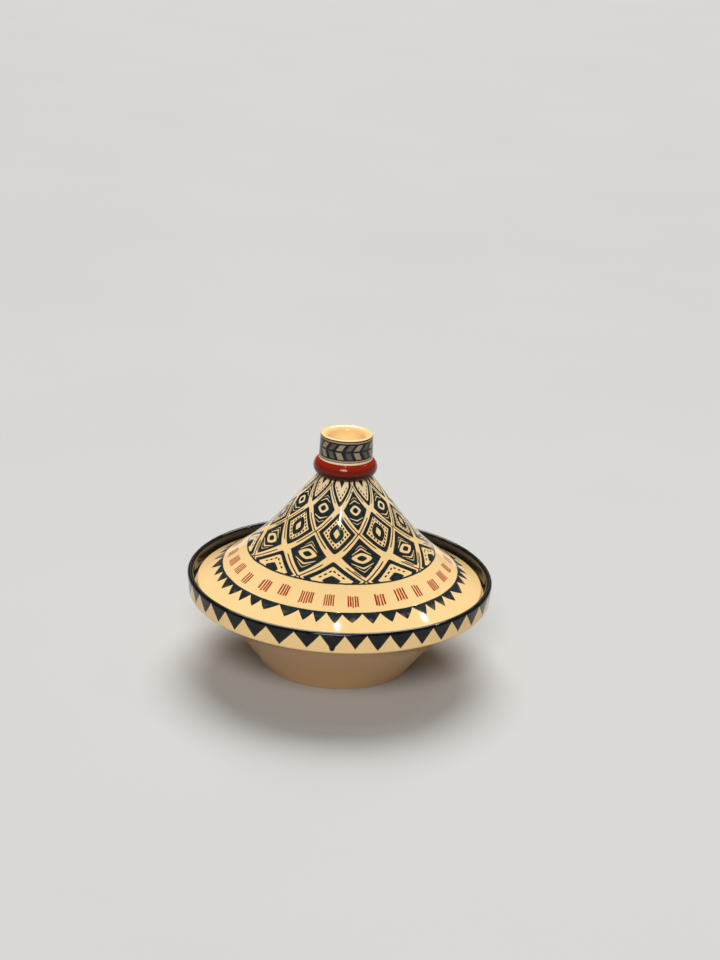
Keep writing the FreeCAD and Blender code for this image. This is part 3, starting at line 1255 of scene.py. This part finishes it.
    def dotted_diamond(self, across: Value, down: Value, row: Value) -> Value:
        """Draw an outlined diamond with a ring of dots round a dark leaf; at the neck only its lower half.

        Args:
            across: Way to the side of the diamond's middle.
            down: Way down from the diamond's middle.
            row: Row of dotted diamonds, from -1 at the neck to 1 at the line.

        Returns:
            The mask of its paint.
        """
        outer_row, low_row, neck_row = abs(row), row | 0.0, -row | 0.0
        far_up = (neck_row - 1) * self.FAR
        side, depth = across.blunt(1.2), abs(down | far_up) * (1 + low_row * 0.075)
        outline = self.fill(self.lozenge(side, depth, *self.DOTTED))
        hollow = self.fill(self.lozenge(side, depth, *self.HOLLOW))
        count = 5 - low_row * 1.4 - neck_row * 1.5
        dot_width, dot_height = 10.3, 14.2 - outer_row * 2.2
        dots = self.dot_ring(abs(across) / dot_width, depth / dot_height, low_row, count)
        leaf_side = across.blunt(0.4)
        leaf_width, leaf_height = 6.9 - outer_row * 1.3, 10.2 - outer_row * 4.0
        leaf = self.lozenge(leaf_side, depth, leaf_width, leaf_height, end_bulge=2.0 - outer_row * 0.7)
        wedge = leaf_side + down * 0.8 - 1.3
        leaf = leaf + (wedge - leaf) * neck_row
        heart = self.lozenge(across.blunt(0.3), depth, *self.HEART, self.HEART_BULGE, self.HEART_BULGE)
        heart = self.fill(heart) * (1 - outer_row)
        return (outline & (1 - hollow)) | dots | (self.fill(leaf) & (1 - heart))

    def dot_ring(self, side: Value, depth: Value, low_row: Value, count: Value) -> Value:
        """Draw dots along a diamond; in the low row they are flatter and begin a half step on.

        Args:
            side: Way to the side, where 1 is the diamond's corner.
            depth: Way up or down, where 1 is the diamond's corner.
            low_row: 1 in the low row and 0 elsewhere.
            count: How many dots lie along one side of the diamond.

        Returns:
            The mask of the dots.
        """
        step = ((1 + side - depth) / 2 * count + low_row * 0.5).wrapped(0.5)
        along = step * 3.0
        off = (side + depth - 1) * (8.3 + low_row * 2)
        return (along * along + off * off).below(0.95, 0.35) & depth.above(low_row * 0.3 - 0.1, 0.05)

    def band_strokes(self, across: Value, down: Value, luck: Value) -> Value:
        """Draw the thin strokes in the cream bands outside a dotted diamond.

        Args:
            across: Way to the side of the diamond's middle.
            down: Way down from the diamond's middle.
            luck: A number from 0 to 1 for each side of each diamond.

        Returns:
            The mask of the strokes.
        """
        depth = abs(down)
        out = self.lozenge(abs(across), depth, *self.DOTTED)
        climb = depth / self.ROW_STEP
        near = abs(out - 3.2).below(0.9, 0.3) & climb.below(luck * 0.25 + 0.55, 0.03)
        far = abs(out - 5.7).below(0.75, 0.3) & climb.within(0.22, 0.65 - luck * 1.4, 0.03)
        return near | far

    def tally(self, degrees: Value, run: Value) -> Value:
        """Draw the groups of short red strokes.

        Args:
            degrees: Way round the lid.
            run: Way down the lid.

        Returns:
            The mask of the strokes.
        """
        stretch = degrees.radians().sin() * self.TALLY_STRETCH
        phase = degrees * (self.TALLIES / FULL_TURN) - stretch + self.TALLY_PHASE
        group, offset = phase.repeats(self.TALLIES)
        pitch = self.TALLY_PITCH - (group * (8 * math.pi / self.TALLIES)).cos() * self.PITCH_SWING
        luck = self.chance(group, group * 0.37)
        sway = self.chance(group * 0.71, group)
        across = offset * (FULL_TURN / self.TALLIES) + (sway - 0.5) * 1.2
        down = run - self.TALLY_TOP - (luck - 0.5) * 4
        place = across / pitch + (down - self.TALLY_HEIGHT / 2) * self.TALLY_SLANT
        stroke = place.floor()
        own = self.chance(stroke, group)
        other = self.chance(group, stroke)
        off = abs(place - stroke - 0.5 + (own - 0.5) * 0.2)
        tall_part = down.within(own * 1.5, self.TALLY_HEIGHT - other * 1.5 + 0.4, 0.35)
        last = self.TALLY_REACH - sway.above(0.5, 0.01) * 0.9
        drawn = ((stroke + 0.5) * pitch).within(-self.TALLY_REACH, last, 0.01)
        return off.below(0.28 + other * 0.08, 0.06) & tall_part & drawn

    def sawtooth(self, degrees: Value, run: Value) -> Value:
        """Draw the border of dark leaning teeth that point outwards.

        Args:
            degrees: Way round the lid.
            run: Way down the lid.

        Returns:
            The mask of the border.
        """
        angle = degrees.radians()
        uneven = (angle * 7 + 0.6).sin() * 0.16 + (angle * 11 + 2.1).sin() * 0.12
        phase = degrees * (self.TEETH / FULL_TURN) + uneven
        tooth, across = phase.repeats(self.TEETH)
        luck = self.chance(tooth, tooth * 0.13)
        lean = (self.chance(tooth * 0.53, tooth) - 0.4) * 0.4
        from_tip = ((lean - across) / (lean + 0.5)) | ((across - lean) / (0.5 - lean))
        root = (phase * (math.pi * 0.74)).sin() * 0.7 + self.TOOTH_ROOT
        reach = (self.TOOTH_TIP + luck * 2.8 - root) * (1 - from_tip ** 1.1) + root
        return run.above(self.CREST, self.SOFT) & run.below(reach, self.SOFT)


class DishPaint(Glaze):
    """The dish's black lip and its band of hanging teeth.

    Measures down the band are millimetres from the lip, and heights are metres above the table.
    """

    NAME = "dish_paint"
    TEETH: ClassVar[int] = 40
    TOOTH_ROOT: ClassVar[float] = 3.0
    TOOTH_TIP: ClassVar[float] = 17.6
    INSIDE_LIP: ClassVar[Place] = (-19.0, 0.2)
    OUTSIDE_RUN: ClassVar[float] = 15.0
    DRIP_PLACE: ClassVar[Place] = (-1.0, 14.8)
    DRIP_SIZE: ClassVar[Place] = (1.15, 5.1)
    BAND_FOOT: ClassVar[float] = 0.0715
    BARE_HEIGHT: ClassVar[float] = 0.0012

    def paint(self) -> bpy.types.Material:
        """Paint the dish.

        Returns:
            The material.
        """
        run = self.stray(self.run, amount=0.35, size=0.015, shift=21.0)
        _, _, height = self.split(self.place)
        outside = (run.above(0.0, 0.2) & run.below(self.teeth(), 0.35)) | self.drip(run)
        inside = run.within(*self.INSIDE_LIP, 0.4)
        inked = outside | inside
        black = self.mix(inside, self.pigments.lip_black, self.pigments.brown_black)
        black = self.mix(self.patches() * 0.5, black, self.pigments.thin_ink)
        # Painted shade: outside and below the band the ground is darker and warmer, as if in the band's
        # shadow, clouded towards bare clay.
        cloud = self.noise(self.place, size=0.03, detail=3.0, shift=23.0) * 0.5
        thin = self.mix(cloud, self.pigments.underside_shade, self.pigments.bare_clay)
        under_band = height.below(self.BAND_FOOT, 0.0015) & run.above(self.OUTSIDE_RUN, 1.0)
        ground = self.mix(under_band, self.cream(), thin)
        bare = height.below(self.BARE_HEIGHT, 0.0003)
        return self.finish(self.mix(inked, ground, black), inked, bare)

    def teeth(self) -> Value:
        """Measure how far down the hanging teeth reach.

        Returns:
            The lower edge of the black, in millimetres from the lip.
        """
        angle = self.degrees.radians()
        uneven = (angle * 4 - 1.41).sin() * 0.141 + (angle * 8 - 0.61).sin() * 0.049 + 0.282
        degrees = self.stray(self.degrees, amount=0.25, size=0.02, shift=22.0)
        tooth, across = (degrees * (self.TEETH / FULL_TURN) + uneven).repeats(self.TEETH)
        luck = self.chance(tooth, tooth * 0.29)
        fullness = self.chance(tooth * 0.41, tooth) * 0.3 + 0.85
        root = luck * 1.6 + self.TOOTH_ROOT
        tip = luck * 2.2 + self.TOOTH_TIP
        return (tip - root) * (1 - (abs(across) * 2) ** fullness) + root

    def drip(self, run: Value) -> Value:
        """Draw the drip at the front.

        Args:
            run: Way down the band.

        Returns:
            The drip's mask.
        """
        aside = (self.degrees - self.DRIP_PLACE[0]) / self.DRIP_SIZE[0]
        down = (run - self.DRIP_PLACE[1]) / self.DRIP_SIZE[1]
        return (aside * aside + down * down).below(0.98, 0.2)


class KnobPaint(Glaze):
    """The knob's dark lines and its herringbone of beige and grey cells, with painted light in its cup and
    on the ring at its foot.

    Depths are millimetres below the knob's top.
    """

    NAME = "knob_paint"
    TOP: ClassVar[float] = 235.5
    BARS: ClassVar[int] = 18
    FIRST_BAR: ClassVar[float] = 9.0
    SPINE: ClassVar[float] = 11.4
    UPPER_LEAN: ClassVar[float] = 1.6
    LOWER_LEAN: ClassVar[float] = 1.0
    ZONE: ClassVar[Place] = (3.5, 19.1)
    LINES: ClassVar[tuple[Place, ...]] = ((0.7, 1.8), (3.1, 4.7), (18.9, 20.3), (21.8, 22.4))
    EDGES: ClassVar[tuple[Place, ...]] = ((1.8, 3.2), (20.3, 21.9))
    FOOT: ClassVar[float] = 22.5
    LIP_RUN: ClassVar[float] = 0.4
    MOUTH_DEPTH: ClassVar[float] = 6.0
    MOUTH_FADE: ClassVar[float] = 4.0
    SOFT: ClassVar[float] = 0.14

    def paint(self) -> bpy.types.Material:
        """Paint the knob.

        Returns:
            The material.
        """
        _, _, height = self.split(self.place)
        depth = self.stray(self.TOP - height / MM, amount=0.2, size=0.01, shift=31.0)
        outside = self.run.above(self.LIP_RUN, 0.2)
        rise, drop = (self.SPINE - depth) | 0.0, (depth - self.SPINE) | 0.0
        slow = self.stray(self.degrees, amount=0.8, size=0.012, shift=32.0)
        degrees = self.stray(slow, amount=0.7, size=0.003, shift=34.0)
        lean = rise * self.UPPER_LEAN + drop * self.LOWER_LEAN
        phase = (degrees - lean - self.FIRST_BAR) * (self.BARS / FULL_TURN)
        cell = phase.floor()
        odd = cell.parity()
        bar = (phase - cell).below(0.36 + odd * 0.08, 0.03)
        spine = (rise + drop).below(1.0, self.SOFT)
        zone = depth.within(*self.ZONE, self.SOFT)
        inked = ((zone & (bar | spine)) | depth.bands(self.LINES, self.SOFT)) & outside
        brushed = self.noise(self.place, size=0.0018, detail=3.0, shift=33.0)
        luck = self.chance(cell.wrapped(self.BARS / 2), depth.above(self.SPINE, 0.01))
        tone = luck * 0.5 + brushed * 0.6
        grey = self.mix(tone * 0.55, self.pigments.cell_grey, self.pigments.bar_black)
        beige = self.mix(tone * 0.4, self.pigments.cell_beige, self.pigments.cell_grey)
        # Painted light: the cup's inside is paler below the lip, to lift the shade in its hollow; the cream
        # ring at the foot is made paler by a painted highlight.
        mouth_painted_light = (1 - outside) & depth.above(self.MOUTH_DEPTH, self.MOUTH_FADE) * 0.6
        pale = mouth_painted_light | depth.above(self.FOOT, 0.2)
        colour = self.mix(pale, self.cream(), self.pigments.pale_cream_and_painted_light)
        colour = self.mix(depth.bands(self.EDGES, 0.2) & outside, colour, self.pigments.cell_beige)
        colour = self.mix(zone & outside, colour, self.mix(odd, beige, grey))
        black = self.mix(self.patches(), self.pigments.bar_black, self.pigments.thin_ink)
        return self.finish(self.mix(inked, colour, black), inked)


class BeadGlaze(Glaze):
    """The collar's red glaze, with painted shade that darkens it towards its lower edge; heights are metres
    above the table.
    """

    NAME = "bead_glaze"
    SHADE_HEIGHT: ClassVar[float] = 0.2055
    SHADE_FADE: ClassVar[float] = 0.0075

    def paint(self) -> bpy.types.Material:
        """Glaze the bead.

        Returns:
            The material.
        """
        cloud = self.noise(self.place, size=0.012, detail=3.0, shift=41.0)
        _, _, height = self.split(self.place)
        # Painted shade: the bead darkens towards its lower edge, as if in shadow from light above; the cloud
        # adds a little random tone.
        dark = height.below(self.SHADE_HEIGHT, self.SHADE_FADE) * 0.95 + cloud * 0.15 - 0.05
        return self.finish(self.mix(dark, self.pigments.ox_red, self.pigments.bead_shade_red), cloud)


@dataclass
class Studio:
    """Floor, lamps and camera; sizes in metres and angles in degrees.

    Attributes:
        floor_width: Width of the floor.
        camera_place: Where the camera stands.
        camera_dip: How far it looks down.
        camera_roll: How far its right side is raised.
        lens: Focal length in millimetres on a 36 mm picture height.
        target: The place that a spark faces unless it has its own.
        spark_level: How bright the sparks' discs are.
        air_colour: Colour of the air round the pot.
        air_level: How bright the air is, where 1 is white.
    """

    floor_width: float = 150.0
    camera_place: Point = (0.01491, -1.81989, 0.84998)
    camera_dip: float = 19.99025
    camera_roll: float = 3.02066
    lens: float = 75.0
    target: Point = (0.0, 0.0, 0.1)
    spark_level: float = 150.0
    air_colour: Colour = (1.0, 0.99, 0.97, 1.0)
    air_level: float = 0.12

    def floor(self) -> None:
        """Lay the pale floor."""
        half = self.floor_width / 2
        mesh = bpy.data.meshes.new("studio_floor")
        mesh.from_pydata([(-half, -half, 0), (half, -half, 0), (half, half, 0), (-half, half, 0)], [],
                         [(0, 1, 2, 3)])
        mesh.materials.append(FloorFinish("pale_floor").paint())
        floor = bpy.data.objects.new("studio_floor", mesh)
        bpy.context.scene.collection.objects.link(floor)

    def sky_lamp(self, name: str, direction: Point, level: float, softness: float) -> None:
        """Light the whole floor evenly from one side.

        Args:
            name: The lamp's name.
            direction: Which way it stands from the pot.
            level: How brightly it lights a white face turned to it, where 1 is white.
            softness: Width of its disc.
        """
        light = bpy.data.lights.new(name, "SUN")
        light.energy = level * math.pi
        light.angle = math.radians(softness)
        self.hang(light, Vector(direction), Vector(direction))

    def spark(self, name: str, place: Point, size: Place, aim: Point | None = None,
              beam: float = 180.0) -> None:
        """Hang a small weak lamp that only shows as a spark on the glaze.

        Args:
            name: The lamp's name.
            place: Where it hangs.
            size: Width and height of its disc.
            aim: The place that it faces.
            beam: Angle of its beam; a grid on the lamp narrows it and leaves the disc as bright.
        """
        width, height = size
        half_beam = math.radians(beam) / 2
        share = 1 - half_beam / math.tan(half_beam)
        light = bpy.data.lights.new(name, "AREA")
        light.shape = "ELLIPSE"
        light.size = width
        light.size_y = height
        light.spread = 2 * half_beam
        light.energy = self.spark_level * (math.pi / 2) ** 2 * width * height * share
        self.hang(light, Vector(place), Vector(place) - Vector(aim or self.target))

    def hang(self, light: bpy.types.Light, place: Vector, away: Vector) -> None:
        """Put a lamp in its place, out of the camera's sight.

        Args:
            light: The lamp.
            place: Where it hangs.
            away: The way that its back faces.
        """
        lamp = bpy.data.objects.new(light.name, light)
        lamp.location = place
        lamp.rotation_euler = away.to_track_quat("Z", "Y").to_euler()
        lamp.visible_camera = False
        bpy.context.scene.collection.objects.link(lamp)

    def lights(self) -> None:
        """Light the pot softly from behind and from the front, with small sparks for the glaze."""
        self.sky_lamp("top_light", (0.0, 0.55, 0.835), level=0.95, softness=40.0)
        self.sky_lamp("front_light", (-0.053, -0.753, 0.656), level=0.57, softness=24.0)
        self.spark("brim_spark", (0.001, -0.079, 1.289), size=(0.036, 0.044))
        self.spark("side_spark", (0.693, 0.313, 1.037), size=(0.036, 0.036))
        self.spark("cone_spark", (-0.029, -0.276, 0.493), size=(0.022, 0.014),
                   aim=(-0.002, -0.048, 0.166), beam=8.0)
        world = bpy.data.worlds.new("studio_air")
        world.use_nodes = True
        air = world.node_tree.nodes["Background"]
        air.inputs["Color"].default_value = self.air_colour
        air.inputs["Strength"].default_value = self.air_level
        bpy.context.scene.world = world

    def camera(self) -> None:
        """Set the camera where the picture was taken."""
        camera = bpy.data.cameras.new("camera")
        camera.lens = self.lens
        holder = bpy.data.objects.new("camera", camera)
        tilt = Matrix.Rotation(math.radians(90 - self.camera_dip), 4, "X")
        roll = Matrix.Rotation(math.radians(self.camera_roll), 4, "Z")
        holder.matrix_world = Matrix.Translation(self.camera_place) @ tilt @ roll
        bpy.context.scene.collection.objects.link(holder)
        bpy.context.scene.camera = holder


def main() -> None:
    """Build the pieces in order, then the studio."""
    logging.basicConfig(level=logging.INFO, format="%(name)s: %(message)s")
    bpy.context.scene.view_settings.view_transform = "Standard"
    pigments = Pigments()
    tree = TurningTree()
    work = ((Dish(), DishPaint), (LidCone(), LidPaint), (CollarBead(), BeadGlaze), (KnobCup(), KnobPaint))
    for piece, paint in work:
        piece.build(tree, paint(pigments).paint())
    studio = Studio()
    studio.floor()
    studio.lights()
    studio.camera()


if __name__ == "__main__":
    main()
